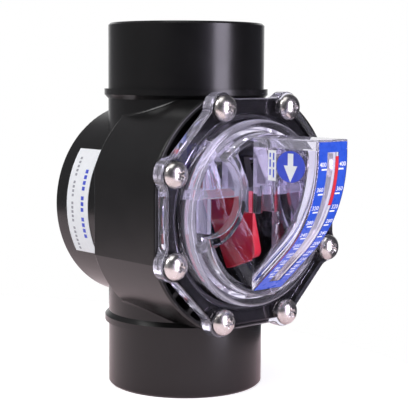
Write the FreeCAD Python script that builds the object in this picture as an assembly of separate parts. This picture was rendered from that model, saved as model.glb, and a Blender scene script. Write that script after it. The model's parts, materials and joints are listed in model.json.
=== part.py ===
import FreeCAD, Part
import math
import os
from FreeCAD import Vector

# Pool flow meter valve: a swing check valve whose flapper carries a red pointer into a clear fin on the lid.
# Millimetres. The pipe axis is Z, the lid looks along -Y, and the origin is the centre of the lower
# port's end face, so the valve stands on that port. Every piece is modelled about the middle of the height
# and lifted to the standing frame when it is written.

# Ports: a 63 mm spigot outside, a socket for 50 mm pipe inside
spigot_d = 63.0
socket_d = 50.2
flow_bore_d = 45.0
height = 146.4
stub_length = 26.1
socket_depth = 25.5
port_chamfer = 0.8
ring_r = 33.1
ring_face = 2.3
ring_taper = 1.7

# Body: a drum in front of the pipe axis and a narrower skirt behind it
drum_r = 48.5
drum_front_y = -36.3
drum_rear_y = 1.2
drum_side_flat = 45.5
drum_top_flat = 43.3
drum_edge = 0.8
skirt_r = 40.2
skirt_rear_y = 35.1
skirt_edge = 1.0
neck_fillet = 1.5
chamber_r = 37.5
skirt_chamber_r = 35.7
chamber_rear_y = 29.0
rear_recess_r = 34.0
rear_recess_depth = 3.0
pocket_r = 46.7
pocket_inner = 41.5
pocket_half_length = 11.5
pocket_depth = 12.0
pocket_rib = 2.0
pocket_rib_offset = 5.0
pilot_depth = 17.0

# Lid: octagonal flange a little off the body, low dome with a raised window between two round scoops, spigot
# with a seal groove
screw_count = 8
screw_circle_r = 43.75
boss_r = 6.0
lid_flat = 44.0
lid_scallop_r = 5.0
lid_edge = 0.8
flange_gap = 0.2
flange_thickness = 5.0
dome_r = 36.0
dome_front_y = -44.6
dome_wall = 3.0
dome_edge = 1.6
dome_inner_r = 33.0
dome_inner_chamfer = 1.5
window_r = 30.8
window_draft = 0.4
window_front_y = -48.6
window_wall = 3.0
scoop_wall = 4.2
window_edge = 0.5
scoop_centre = (29.3, 8.7)
scoop_r = 15.4
scoop_rib_angle = 18.0
scoop_rib_width = 3.2
scoop_rib_front_y = -47.2
lid_spigot_r = 38.3
lid_spigot_bore_r = 34.0
lid_spigot_depth = 5.0
spigot_clearance = 0.2
groove_depth = 2.0
groove_width = 2.8
seal_wire_r = 1.05

# Fin: a hollow quadrant whose front wall is an arc about the hinge, then a straight run to the dome
fin_half_width = 8.1
fin_side_wall = 2.2
fin_front_wall = 2.4
fin_top_wall = 4.0
fin_top_z = 30.0
fin_arc_r = 50.0
fin_arc_angle = 47.0
fin_edge = 0.7
fin_inner_round = 4.0
guide_inner_x = 3.2
guide_front_y = -49.5
guide_bottom_z = 1.0

# Hinge on four lugs that stand on a shelf, measured from the middle of the valve's height. Walls of one
# moulding run into each other by the weld before they are joined.
hinge_y = -31.3
hinge_z = 24.0
pin_r = 1.5
pin_half_length = 21.5
running_clearance = 0.05
lug_r = 4.2
outer_lug_thickness = 2.5
inner_lug_thickness = 6.0
lug_leg = 2.0
sleeve_r = 3.2
inner_lug_x = 5.8
outer_lug_x = 19.0
shelf_bottom_z = 7.0
shelf_top_z = 10.5
shelf_rear_y = -33.9
brace_x = 24.0
brace_thickness = 2.0
brace_rear_y = -35.6
brace_bottom_z = -6.0
weld = 0.5

# Flapper, in its own frame: hinge axis at the origin, disc along +Y, pointer down, seal up
closed_angle = 20.7
hub_r = 3.4
hub_half_length = 5.2
arm_half_width = 5.2
disc_r = 27.0
disc_top = 1.0
disc_thickness = 3.5
disc_edge = 0.6
pointer_half_thickness = 1.5
pointer_tip_half_thickness = 1.7
pointer_front = -2.3
pointer_neck_z = -3.6
pointer_tip = (1.6, -42.2)
pointer_tip_round = 3.0
pointer_heel = (21.6, -42.0)
pointer_root = 27.0
tongue_y = (6.0, 24.0)
tongue_top = -1.0
tongue_slot_half_width = 1.6
retainer_boss_r = 5.0
retainer_boss_depth = 6.0
retainer_boss_floor = 1.0
flapper_seal_r = 26.2
flapper_seal_thickness = 2.0
retainer_r = 16.0
retainer_thickness = 2.0
retainer_screw_r = 1.6
retainer_head_r = 3.6
retainer_head_height = 2.2
seat_outer_r = 26.5
seat_gap = 0.1

# Return spring on the right-hand half of the pin
spring_start_x = 12.5
spring_turns = 4.74
spring_pitch = 1.2
spring_r = 3.0
spring_wire_r = 0.45
spring_arm = 14.0
spring_leg_z = 7.4

# Lid screws
screw_r = 2.4
screw_hole_gap = 0.1
screw_head_r = 5.15
screw_head_height = 4.0
screw_length = 16.0

# Labels
label_thickness = 0.2
scale_half_width = 7.2
scale_slot_half_width = 3.0
scale_slot_top_z = 25.5
scale_slot_bottom_y = -52.0
scale_top_z = 29.2
scale_bottom_y = -48.7
round_sticker_y = -68.3
round_sticker_z = 19.8
round_sticker_half_length = 7.15
round_sticker_half_height = 5.7
side_sticker_y = -58.7
side_sticker_z = 19.8
side_sticker_size = (3.9, 11.2)
body_label_y = (12.4, 26.8)
body_label_angles = (-27.7, 34.4)

mid_z = height / 2
spigot_r = spigot_d / 2
flow_bore_r = flow_bore_d / 2
flange_back_y = drum_front_y - flange_gap
flange_front_y = flange_back_y - flange_thickness
dome_back_y = dome_front_y + dome_wall
window_back_y = window_front_y + window_wall
lid_spigot_end_y = flange_back_y + lid_spigot_depth
groove_y = flange_back_y + lid_spigot_depth / 2
ring_top = mid_z - stub_length
X_AXIS = Vector(1, 0, 0)
Y_AXIS = Vector(0, 1, 0)
Z_AXIS = Vector(0, 0, 1)
FLAT = 1e-6
NEAR = 1e-3


def disc_y(radius, y_from, y_to):
    """Round bar along Y, centred on the drum's axis at mid height."""
    return Part.makeCylinder(radius, y_to - y_from, Vector(0, y_from, 0), Y_AXIS)


def bar_z(radius, z_from, z_to):
    """Round bar along the pipe axis."""
    return Part.makeCylinder(radius, z_to - z_from, Vector(0, 0, z_from), Z_AXIS)


def bar_x(radius, x_from, x_to, y, z):
    """Round bar across the valve."""
    return Part.makeCylinder(radius, x_to - x_from, Vector(x_from, y, z), X_AXIS)


def block(x_range, y_range, z_range):
    """Box between the given limits."""
    size = [limits[1] - limits[0] for limits in (x_range, y_range, z_range)]
    return Part.makeBox(*size, Vector(x_range[0], y_range[0], z_range[0]))


def revolve(profile, axis):
    """Solid of revolution of a closed profile about an axis through the origin."""
    return Part.Face(Part.makePolygon(profile + profile[:1])).revolve(Vector(), axis, 360)


def plate_x(wire, x_from, x_to):
    """Flat plate: a closed wire in the plane X = 0, given its thickness along X."""
    face = Part.Face(wire)
    face.translate(Vector(x_from, 0, 0))
    return face.extrude(Vector(x_to - x_from, 0, 0))


def polygon_yz(points):
    """Closed wire through (y, z) points in the plane X = 0."""
    corners = [Vector(0, y, z) for y, z in points]
    return Part.makePolygon(corners + corners[:1])


def screw_places():
    """(x, z) of each lid screw, on a circle about the drum's axis."""
    step = 360 / screw_count
    angles = [math.radians(step * (k + 0.5)) for k in range(screw_count)]
    return [(screw_circle_r * math.cos(a), screw_circle_r * math.sin(a)) for a in angles]


def screw_bores(y_from, y_to):
    """A bar in every screw's place, as wide as the hole that it cuts."""
    radius = screw_r + screw_hole_gap
    return [Part.makeCylinder(radius, y_to - y_from, Vector(x, y_from, z), Y_AXIS) for x, z in screw_places()]


def export(shape, node):
    """Lift a piece from mid height to the standing frame and write it."""
    placed = shape.copy()
    placed.translate(Vector(0, 0, mid_z))
    placed.exportStep("parts/" + node + ".step")


def edges_on_plane_y(shape, y):
    """Edges that lie wholly in the plane at the given Y."""
    return [e for e in shape.Edges if abs(e.BoundBox.YMin - y) < FLAT and abs(e.BoundBox.YMax - y) < FLAT]


def flapper_to_valve(shape):
    """Move a shape from the flapper's own frame to the closed position in the valve."""
    placed = shape.copy()
    placed.rotate(Vector(), X_AXIS, -closed_angle)
    placed.translate(Vector(0, hinge_y, hinge_z))
    return placed


def disc_centre():
    """Distance from the hinge to the disc's centre, so that the disc covers the bore on the pipe axis."""
    tilt = math.radians(closed_angle)
    seat_level = disc_top + flapper_seal_thickness
    return (-hinge_y - seat_level * math.sin(tilt)) / math.cos(tilt)


def neck_edges(shape):
    """Edges where the pipe runs into the drum's round side."""
    found = []
    for edge in shape.Edges:
        points = edge.discretize(5)
        on_pipe = all(abs(math.hypot(p.x, p.y) - spigot_r) < NEAR for p in points)
        on_drum = all(abs(math.hypot(p.x, p.z) - drum_r) < NEAR for p in points)
        if on_pipe and on_drum:
            found.append(edge)
    return found


def body_shell():
    """Outside of the body: pipe, collar rings, drum with its flats, and skirt."""
    ring_profile = [
        Vector(0, 0, ring_top - ring_face - ring_taper),
        Vector(spigot_r, 0, ring_top - ring_face - ring_taper),
        Vector(ring_r, 0, ring_top - ring_face),
        Vector(ring_r, 0, ring_top),
        Vector(0, 0, ring_top),
    ]
    upper_ring = revolve(ring_profile, Z_AXIS)
    lower_ring = upper_ring.mirror(Vector(), Z_AXIS)
    flats = block(
        (-drum_side_flat, drum_side_flat), (drum_front_y, drum_rear_y), (-drum_top_flat, drum_top_flat)
    )
    drum = disc_y(drum_r, drum_front_y, drum_rear_y).common(flats)
    drum = drum.makeFillet(drum_edge, edges_on_plane_y(drum, drum_rear_y))
    drum = drum.fuse(bar_z(spigot_r, -mid_z, mid_z)).removeSplitter()
    drum = drum.makeFillet(neck_fillet, neck_edges(drum))
    drum = drum.makeFillet(drum_edge, edges_on_plane_y(drum, drum_front_y))
    skirt = disc_y(skirt_r, 0, skirt_rear_y)
    skirt = skirt.makeFillet(skirt_edge, edges_on_plane_y(skirt, skirt_rear_y))
    return drum.fuse(skirt).fuse(upper_ring).fuse(lower_ring).removeSplitter()


def front_pockets():
    """Cored pockets behind the lid's four slanted sides; the two lower ones keep a pair of ribs."""
    pockets = []
    for angle in (45, 135, 225, 315):
        slot = block(
            (pocket_inner, drum_r), (drum_front_y, drum_front_y + pocket_depth),
            (-pocket_half_length, pocket_half_length),
        )
        if angle > 180:
            for side in (-1, 1):
                rib_z = side * pocket_rib_offset
                rib = block(
                    (pocket_inner, drum_r), (drum_front_y, drum_front_y + pocket_depth),
                    (rib_z - pocket_rib / 2, rib_z + pocket_rib / 2),
                )
                slot = slot.cut(rib)
        slot.rotate(Vector(), Y_AXIS, -angle)
        pockets.append(slot.common(disc_y(pocket_r, drum_front_y, drum_front_y + pocket_depth)))
    return pockets


def seat_tube():
    """Inner end of the upper port: a tube cut off by the inclined plane that the flapper closes on."""
    tube = bar_z(seat_outer_r, 0, chamber_r).cut(bar_z(flow_bore_r, 0, chamber_r))
    seat_level = disc_top + flapper_seal_thickness + seat_gap
    below = block((-drum_r, drum_r), (-drum_r, 2 * drum_r), (seat_level - 2 * drum_r, seat_level))
    return tube.cut(flapper_to_valve(below))


def make_valve_body():
    chamber = disc_y(chamber_r, drum_front_y, drum_rear_y)
    skirt_chamber = disc_y(skirt_chamber_r, drum_rear_y, chamber_rear_y)
    lid_bore = disc_y(
        lid_spigot_r + spigot_clearance, drum_front_y, lid_spigot_end_y + spigot_clearance
    )
    rear_recess = disc_y(rear_recess_r, skirt_rear_y - rear_recess_depth, skirt_rear_y)
    hollow = [chamber, skirt_chamber, lid_bore, rear_recess]
    for end in (1, -1):
        stop_z = end * (mid_z - socket_depth)
        bore = bar_z(flow_bore_r, min(0, stop_z), max(0, stop_z))
        socket = bar_z(socket_d / 2, min(stop_z, end * mid_z), max(stop_z, end * mid_z))
        hollow += [bore, socket]
    pilots = screw_bores(drum_front_y, flange_front_y + pilot_depth)
    body = body_shell().cut(hollow + pilots + front_pockets())
    body = body.fuse(seat_tube().common(chamber.fuse(skirt_chamber))).removeSplitter()
    rims = [e for e in body.Edges if abs(abs(e.BoundBox.ZMin) - mid_z) < FLAT and e.BoundBox.ZLength < FLAT]
    outer_rims = [e for e in rims if e.BoundBox.XLength > (socket_d + spigot_d) / 2]
    return body.makeChamfer(port_chamfer, outer_rims)


def lid_plate():
    """Octagonal flange with a round ear at every screw and a hollow curve beside each ear."""
    octagon_r = lid_flat / math.cos(math.pi / screw_count)
    corners = []
    for k in range(screw_count + 1):
        angle = 2 * math.pi * (k + 0.5) / screw_count
        corners.append(Vector(octagon_r * math.cos(angle), flange_front_y, octagon_r * math.sin(angle)))
    plate = Part.Face(Part.makePolygon(corners)).extrude(Vector(0, flange_thickness, 0))
    ears = [
        Part.makeCylinder(boss_r, flange_thickness, Vector(x, flange_front_y, z), Y_AXIS)
        for x, z in screw_places()
    ]
    plate = plate.multiFuse(ears).removeSplitter()
    hollows = [e for e in plate.Edges if e.BoundBox.XLength < FLAT and e.BoundBox.ZLength < FLAT]
    plate = plate.makeFillet(lid_scallop_r, hollows)
    plate = plate.makeFillet(lid_edge, edges_on_plane_y(plate, flange_front_y))
    return plate.cut(disc_y(dome_r - weld, flange_front_y, flange_back_y))


def lid_dome():
    """Low dome, spigot and seal groove, turned about the drum's axis."""
    groove_front_y = groove_y - groove_width / 2
    groove_rear_y = groove_y + groove_width / 2
    groove_r = lid_spigot_r - groove_depth
    front = [(0, dome_front_y), (dome_r, dome_front_y), (dome_r, flange_back_y)]
    spigot = [
        (lid_spigot_r, flange_back_y), (lid_spigot_r, groove_front_y), (groove_r, groove_front_y),
        (groove_r, groove_rear_y), (lid_spigot_r, groove_rear_y), (lid_spigot_r, lid_spigot_end_y),
    ]
    inside = [
        (lid_spigot_bore_r, lid_spigot_end_y), (dome_inner_r, dome_back_y + dome_inner_chamfer),
        (dome_inner_r - dome_inner_chamfer, dome_back_y), (0, dome_back_y),
    ]
    dome = revolve([Vector(r, y, 0) for r, y in front + spigot + inside], Y_AXIS)
    return dome.makeFillet(dome_edge, edges_on_plane_y(dome, dome_front_y))


def scooped(disc, wall):
    """Disc with a round bite out of each side, made wider by a wall's thickness."""
    for side in (-1, 1):
        foot = Vector(side * scoop_centre[0], -drum_r * 2, scoop_centre[1])
        disc = disc.cut(Part.makeCylinder(scoop_r + wall, drum_r * 2, foot, Y_AXIS))
    return disc


def raised_window():
    """Platform that carries the fin: a slightly tapered disc between the two scoops."""
    rise = dome_front_y - window_front_y
    foot = Vector(0, dome_front_y + weld, 0)
    disc = Part.makeCone(window_r + window_draft, window_r, rise + weld, foot, -Y_AXIS)
    window = scooped(disc, 0)
    return window.makeFillet(window_edge, edges_on_plane_y(window, window_front_y))


def window_hollow():
    """Space behind the raised window."""
    return scooped(disc_y(window_r - window_wall, window_back_y, dome_back_y), scoop_wall)


def scoop_rib(side):
    """Rib on the dome's shoulder, from the window's corner outwards."""
    rib = block(
        (window_r - window_wall, dome_r - dome_edge), (scoop_rib_front_y, dome_front_y + weld),
        (-scoop_rib_width / 2, scoop_rib_width / 2),
    )
    rib.rotate(Vector(), Y_AXIS, scoop_rib_angle if side > 0 else 180 - scoop_rib_angle)
    return rib


def fin_outline(offset, back_y, top_z):
    """Fin profile in (y, z): flat top, arc about the hinge, straight run; offset inwards by a wall."""
    arc_r = fin_arc_r - offset
    end = math.radians(fin_arc_angle)
    half = end / 2
    top = Vector(0, hinge_y - arc_r, hinge_z)
    middle = Vector(0, hinge_y - arc_r * math.cos(half), hinge_z - arc_r * math.sin(half))
    foot = Vector(0, hinge_y - arc_r * math.cos(end), hinge_z - arc_r * math.sin(end))
    run = (back_y - foot.y) / math.sin(end)
    heel = Vector(0, back_y, foot.z - run * math.cos(end))
    top_front = Vector(0, top.y, top_z)
    top_back = Vector(0, back_y, top_z)
    edges = [
        Part.LineSegment(top_back, top_front).toShape(),
        Part.LineSegment(top_front, top).toShape(),
        Part.Arc(top, middle, foot).toShape(),
        Part.LineSegment(foot, heel).toShape(),
        Part.LineSegment(heel, top_back).toShape(),
    ]
    return Part.Wire(edges)


def fin_hollow():
    """Space in the fin for the pointer, with its front edges rounded inside."""
    inner_x = fin_half_width - fin_side_wall
    hollow = plate_x(
        fin_outline(fin_front_wall, window_back_y + weld, fin_top_z - fin_top_wall), -inner_x, inner_x
    )
    front = [e for e in hollow.Edges if e.BoundBox.XLength < FLAT and e.BoundBox.ZLength > 1]
    front = [e for e in front if e.BoundBox.YMin < window_front_y]
    return hollow.makeFillet(fin_inner_round, front)


def hinge_lug(x_from, x_to, open_frame):
    """Clear plate on the shelf with an eye for the pin; an open frame is left as two legs."""
    front_y = dome_back_y - weld
    outline = polygon_yz([
        (front_y, shelf_bottom_z), (shelf_rear_y, shelf_bottom_z), (shelf_rear_y, hinge_z - lug_r / 2),
        (hinge_y, hinge_z), (hinge_y - lug_r, hinge_z), (front_y, shelf_top_z + lug_leg),
    ])
    opening = polygon_yz([
        (shelf_rear_y - lug_leg, shelf_top_z), (shelf_rear_y - lug_leg, hinge_z - lug_r - lug_leg),
        (front_y + 2 * lug_leg, shelf_top_z),
    ])
    lug = plate_x(outline, x_from, x_to)
    if open_frame:
        lug = lug.cut(plate_x(opening, x_from, x_to))
    return lug.fuse(bar_x(lug_r, x_from, x_to, hinge_y, hinge_z))


def shelf_brace(side):
    """Upright rib that holds the shelf from below."""
    ends = sorted((side * brace_x, side * (brace_x + brace_thickness)))
    return block(ends, (dome_back_y - weld, brace_rear_y), (brace_bottom_z, shelf_bottom_z + weld))


def hinge_brackets():
    """Shelves, lugs and braces inside the dome, and the sleeve round the pin's left half."""
    brackets = [bar_x(sleeve_r, -outer_lug_x - weld, -inner_lug_x - weld, hinge_y, hinge_z)]
    for side in (-1, 1):
        ends = sorted((side * inner_lug_x, side * (inner_lug_x + inner_lug_thickness)))
        brackets.append(hinge_lug(*ends, False))
        ends = sorted((side * outer_lug_x, side * (outer_lug_x + outer_lug_thickness)))
        brackets.append(hinge_lug(*ends, True))
        ends = sorted((side * inner_lug_x, side * lid_spigot_r))
        brackets.append(block(ends, (dome_back_y - weld, shelf_rear_y), (shelf_bottom_z, shelf_top_z)))
        brackets.append(shelf_brace(side))
    inner_space = disc_y(lid_spigot_bore_r + weld, dome_back_y - weld, hinge_y + 2 * lug_r)
    return [bracket.common(inner_space) for bracket in brackets]


def pointer_guide(side):
    """Block in the fin's mouth that keeps the pointer in the middle."""
    ends = sorted((side * guide_inner_x, side * (fin_half_width - fin_side_wall / 2)))
    return block(ends, (guide_front_y, dome_back_y), (guide_bottom_z, shelf_top_z))


def make_lid():
    fin = plate_x(fin_outline(0, dome_front_y, fin_top_z), -fin_half_width, fin_half_width)
    fin_edges = [e for e in fin.Edges if e.BoundBox.YMax < window_front_y or e.BoundBox.XLength < FLAT]
    fin_edges = [e for e in fin_edges if e.BoundBox.YMin < window_front_y]
    fin = fin.makeFillet(fin_edge, fin_edges)
    lid = lid_plate().multiFuse([lid_dome(), raised_window(), fin, scoop_rib(-1), scoop_rib(1)])
    lid = lid.cut([window_hollow(), fin_hollow()] + screw_bores(flange_front_y, flange_back_y))
    lid = lid.multiFuse(hinge_brackets() + [pointer_guide(-1), pointer_guide(1)])
    return lid.cut(make_hinge_pin()).removeSplitter()


def make_lid_seal():
    ring_centre_r = lid_spigot_r - groove_depth + seal_wire_r
    return Part.makeTorus(ring_centre_r, seal_wire_r, Vector(0, groove_y, 0), Y_AXIS)


def make_lid_screws():
    """Round heads on plain shanks; the recess and the thread are left to the finish."""
    dome_r_of_head = (screw_head_r ** 2 + screw_head_height ** 2) / (2 * screw_head_height)
    screws = []
    for x, z in screw_places():
        seat = Vector(x, flange_front_y, z)
        ball = Part.makeSphere(dome_r_of_head, seat + Vector(0, dome_r_of_head - screw_head_height, 0))
        head = ball.common(Part.makeCylinder(screw_head_r, screw_head_height, seat, -Y_AXIS))
        shank = Part.makeCylinder(screw_r, screw_length, seat, Y_AXIS)
        screws.append(head.fuse(shank).removeSplitter())
    return Part.makeCompound(screws)


def make_flapper():
    """Closing disc, arm and hub on the pin in one moulding, with a slot below for the pointer's tongue."""
    centre = disc_centre()
    disc_bottom = disc_top - disc_thickness
    disc = Part.makeCylinder(disc_r, disc_thickness, Vector(0, centre, disc_bottom), Z_AXIS)
    disc = disc.makeFillet(disc_edge, [e for e in disc.Edges if e.BoundBox.ZLength < FLAT])
    hub = bar_x(hub_r, -hub_half_length, hub_half_length, 0, 0)
    arm = block((-arm_half_width, arm_half_width), (0, centre - disc_r / 2), (disc_bottom, disc_top))
    boss = Part.makeCylinder(
        retainer_boss_r, retainer_boss_depth, Vector(0, centre, disc_bottom - retainer_boss_depth), Z_AXIS
    )
    pin_bore = bar_x(pin_r + running_clearance, -hub_half_length, hub_half_length, 0, 0)
    screw_bore = Part.makeCylinder(
        retainer_screw_r + screw_hole_gap, retainer_boss_depth + disc_thickness,
        Vector(0, centre, disc_bottom - retainer_boss_depth + retainer_boss_floor), Z_AXIS,
    )
    tongue_slot = block(
        (-tongue_slot_half_width, tongue_slot_half_width),
        (tongue_y[0] - running_clearance, tongue_y[1] + running_clearance),
        (disc_bottom, tongue_top + running_clearance),
    )
    flapper = disc.multiFuse([hub, arm, boss]).cut([pin_bore, screw_bore, tongue_slot])
    return flapper_to_valve(flapper.removeSplitter())


def make_pointer():
    """Blade that hangs from the disc by a tongue and grows thicker towards its rounded tip."""
    disc_bottom = disc_top - disc_thickness
    blade = plate_x(
        polygon_yz([
            (pointer_front, pointer_neck_z), pointer_tip, pointer_heel, (pointer_root, disc_bottom),
            (tongue_y[1], disc_bottom), (tongue_y[1], tongue_top), (tongue_y[0], tongue_top),
            (tongue_y[0], pointer_neck_z),
        ]),
        -pointer_tip_half_thickness, pointer_tip_half_thickness,
    )
    tip = Part.makeLine(Vector(-drum_r, *pointer_tip), Vector(drum_r, *pointer_tip))
    tip_edges = [e for e in blade.Edges if all(v.distToShape(tip)[0] < FLAT for v in e.Vertexes)]
    blade = blade.makeFillet(pointer_tip_round, tip_edges)
    tip_z = min(pointer_tip[1], pointer_heel[1])
    half_profile = [
        Vector(pointer_half_thickness, pointer_front, 0),
        Vector(pointer_tip_half_thickness, pointer_front, tip_z),
    ]
    mirrored = [Vector(-corner.x, corner.y, corner.z) for corner in reversed(half_profile)]
    outline = Part.makePolygon(half_profile + mirrored + half_profile[:1])
    taper = Part.Face(outline).extrude(Y_AXIS * (pointer_root - pointer_front))
    return flapper_to_valve(blade.common(taper))


def seal_stack_disc(radius, level, thickness):
    """Washer on the disc's axis with a hole for the retainer screw."""
    foot = Vector(0, disc_centre(), level)
    washer = Part.makeCylinder(radius, thickness, foot, Z_AXIS)
    return washer.cut(Part.makeCylinder(retainer_screw_r + screw_hole_gap, thickness, foot, Z_AXIS))


def make_flapper_seal():
    return flapper_to_valve(seal_stack_disc(flapper_seal_r, disc_top, flapper_seal_thickness))


def make_seal_retainer():
    level = disc_top + flapper_seal_thickness
    retainer = seal_stack_disc(retainer_r, level, retainer_thickness)
    rim = [e for e in retainer.Edges if e.BoundBox.XLength > retainer_r and e.BoundBox.ZMin > level + NEAR]
    return flapper_to_valve(retainer.makeChamfer(disc_edge, rim))


def make_retainer_screw():
    head_level = disc_top + flapper_seal_thickness + retainer_thickness
    tip_level = disc_top - disc_thickness - retainer_boss_depth + 2 * retainer_boss_floor
    centre = disc_centre()
    shank = Part.makeCylinder(retainer_screw_r, head_level - tip_level, Vector(0, centre, tip_level), Z_AXIS)
    head = Part.makeCylinder(retainer_head_r, retainer_head_height, Vector(0, centre, head_level), Z_AXIS)
    top = [e for e in head.Edges if e.BoundBox.ZMin > head_level + NEAR and e.BoundBox.ZLength < FLAT]
    return flapper_to_valve(head.makeFillet(disc_edge, top).fuse(shank).removeSplitter())


def make_hinge_pin():
    return bar_x(pin_r, -pin_half_length, pin_half_length, hinge_y, hinge_z)


def make_return_spring():
    """Torsion spring: a helix on the pin, one leg under the disc, the other down to the shelf."""
    helix = Part.makeHelix(spring_pitch, spring_turns * spring_pitch, spring_r, 0, True)
    helix.rotate(Vector(), Y_AXIS, 90)
    helix.rotate(Vector(), X_AXIS, -closed_angle)
    helix.translate(Vector(spring_start_x, hinge_y, hinge_z))
    turns = helix.Edges[0]
    start = turns.valueAt(turns.FirstParameter)
    start_way = turns.tangentAt(turns.FirstParameter)
    end = turns.valueAt(turns.LastParameter)
    end_way = turns.tangentAt(turns.LastParameter)
    arm_tip = start - start_way * spring_arm
    leg_tip = end + end_way * ((spring_leg_z - end.z) / end_way.z)
    arm = Part.LineSegment(arm_tip, start).toShape()
    leg = Part.LineSegment(end, leg_tip).toShape()
    section = Part.Wire(Part.makeCircle(spring_wire_r, arm_tip, start_way))
    return Part.Wire([arm, turns, leg]).makePipeShell([section], True, False)


def make_scale_label():
    """Thin strip on the fin's front, with a slot that leaves the pointer in view."""
    width = (-scale_half_width, scale_half_width)
    outer = plate_x(fin_outline(-label_thickness, window_front_y, fin_top_z), *width)
    inner = plate_x(fin_outline(0, window_front_y, fin_top_z), *width)
    reach = block((-drum_r, drum_r), (-2 * drum_r, scale_bottom_y), (-drum_r, scale_top_z))
    slot = block(
        (-scale_slot_half_width, scale_slot_half_width),
        (-2 * drum_r, scale_slot_bottom_y), (-drum_r, scale_slot_top_z),
    )
    return outer.cut(inner).common(reach).cut(slot)


def make_round_sticker():
    oval = Part.Ellipse(
        Vector(0, 0, 0), round_sticker_half_length, round_sticker_half_height
    ).toShape()
    face = Part.Face(Part.Wire(oval))
    face.rotate(Vector(), X_AXIS, 90)
    face.rotate(Vector(), Z_AXIS, 90)
    face.translate(Vector(-fin_half_width, round_sticker_y, round_sticker_z))
    return face.extrude(Vector(-label_thickness, 0, 0))


def make_side_sticker():
    length, tall = side_sticker_size
    return block(
        (-fin_half_width - label_thickness, -fin_half_width),
        (side_sticker_y - length / 2, side_sticker_y + length / 2),
        (side_sticker_z - tall / 2, side_sticker_z + tall / 2),
    )


def make_body_label():
    """Sticker wrapped round the left of the skirt, from a lower to an upper angle."""
    low, high = body_label_angles
    outside = Part.makeCylinder(
        skirt_r + label_thickness, body_label_y[1] - body_label_y[0],
        Vector(0, body_label_y[0], 0), Y_AXIS, high - low,
    )
    outside.rotate(Vector(), Y_AXIS, low - 90)
    inside = disc_y(skirt_r, body_label_y[0], body_label_y[1])
    return outside.cut(inside)


pieces = {
    "valve_body": make_valve_body,
    "lid": make_lid,
    "lid_seal": make_lid_seal,
    "lid_screws": make_lid_screws,
    "flapper": make_flapper,
    "pointer": make_pointer,
    "flapper_seal": make_flapper_seal,
    "seal_retainer": make_seal_retainer,
    "retainer_screw": make_retainer_screw,
    "hinge_pin": make_hinge_pin,
    "return_spring": make_return_spring,
    "scale_label": make_scale_label,
    "round_sticker": make_round_sticker,
    "side_sticker": make_side_sticker,
    "body_label": make_body_label,
}
os.makedirs("parts", exist_ok=True)
for node, make in pieces.items():
    shape = make()
    print(node, "solids", len(shape.Solids), "valid", shape.isValid(), "volume %.1f" % shape.Volume)
    export(shape, node)
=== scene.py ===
# %% [markdown]
# # Finishing a pool flow meter valve
#
# The solids of the valve come from its CAD source, already in place and at their real size. This lesson
# gives them their finishes, adds what is too fine for the solids, such as the screws' recesses and the
# printed scale, and then sets up a small studio with a camera where the photographer stood. Lengths of
# pieces are written in millimetres, and MM turns them into metres, which is what Blender works in.

# %% Load the frame
import json
import math
import bmesh
import bpy
from mathutils import Matrix, Vector

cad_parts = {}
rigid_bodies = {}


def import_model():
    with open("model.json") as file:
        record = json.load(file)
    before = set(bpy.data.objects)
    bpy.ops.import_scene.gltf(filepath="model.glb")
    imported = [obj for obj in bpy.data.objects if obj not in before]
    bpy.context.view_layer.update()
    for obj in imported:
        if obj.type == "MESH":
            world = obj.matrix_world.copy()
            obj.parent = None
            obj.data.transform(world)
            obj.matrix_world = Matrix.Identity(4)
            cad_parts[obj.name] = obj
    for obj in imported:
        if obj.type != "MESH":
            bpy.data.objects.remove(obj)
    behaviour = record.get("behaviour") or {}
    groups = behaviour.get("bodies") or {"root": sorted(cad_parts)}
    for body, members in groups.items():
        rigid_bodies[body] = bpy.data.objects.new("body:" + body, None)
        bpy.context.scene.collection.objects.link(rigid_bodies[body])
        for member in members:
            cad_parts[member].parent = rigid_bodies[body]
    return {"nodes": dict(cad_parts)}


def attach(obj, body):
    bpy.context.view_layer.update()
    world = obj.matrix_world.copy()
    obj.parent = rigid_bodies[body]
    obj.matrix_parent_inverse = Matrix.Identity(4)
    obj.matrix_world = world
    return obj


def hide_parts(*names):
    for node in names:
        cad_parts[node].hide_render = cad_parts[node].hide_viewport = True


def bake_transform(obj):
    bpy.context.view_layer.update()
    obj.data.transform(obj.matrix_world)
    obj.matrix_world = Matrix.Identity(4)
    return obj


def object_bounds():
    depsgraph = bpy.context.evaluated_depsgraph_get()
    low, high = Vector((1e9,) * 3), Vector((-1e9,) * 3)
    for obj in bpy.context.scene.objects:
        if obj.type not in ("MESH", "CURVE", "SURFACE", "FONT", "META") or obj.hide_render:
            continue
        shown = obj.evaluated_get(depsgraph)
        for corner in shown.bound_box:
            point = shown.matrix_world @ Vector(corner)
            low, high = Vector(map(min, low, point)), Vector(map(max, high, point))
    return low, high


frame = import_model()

cad_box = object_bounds()
nodes = frame["nodes"]
MM = 0.001


def in_mm(box):
    """Corners of a box in millimetres, for printing."""
    return [[round(v / MM, 1) for v in corner] for corner in box]


print("nodes:", ", ".join(sorted(nodes)))
print("CAD box in mm:", in_mm(cad_box))

# %% [markdown]
# ## Black moulded plastic
#
# The body is injection moulded in black plastic with a semi-gloss skin. A picture of plastic could be
# wrapped round it, but it would need seams and would stretch. One Principled shader does it better, and
# does every other finish here too. What is the same all over is set on the shader's own sockets, by
# name.

# %% A black shader
def new_finish(name, **sockets):
    """A material with one Principled shader, whose plain sockets are set by name."""
    material = bpy.data.materials.new(name)
    material.use_nodes = True
    shader = material.node_tree.nodes["Principled BSDF"]
    for socket, value in sockets.items():
        shader.inputs[socket.replace("_", " ")].default_value = value
    return material, shader


def dress(node, material):
    """Give a CAD node its finish."""
    mesh = nodes[node].data
    mesh.materials.clear()
    mesh.materials.append(material)


body_black, shader = new_finish("body_black", Specular_IOR_Level=0.4)
dress("valve_body", body_black)
print("one shader on the body:", shader.name)

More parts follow.
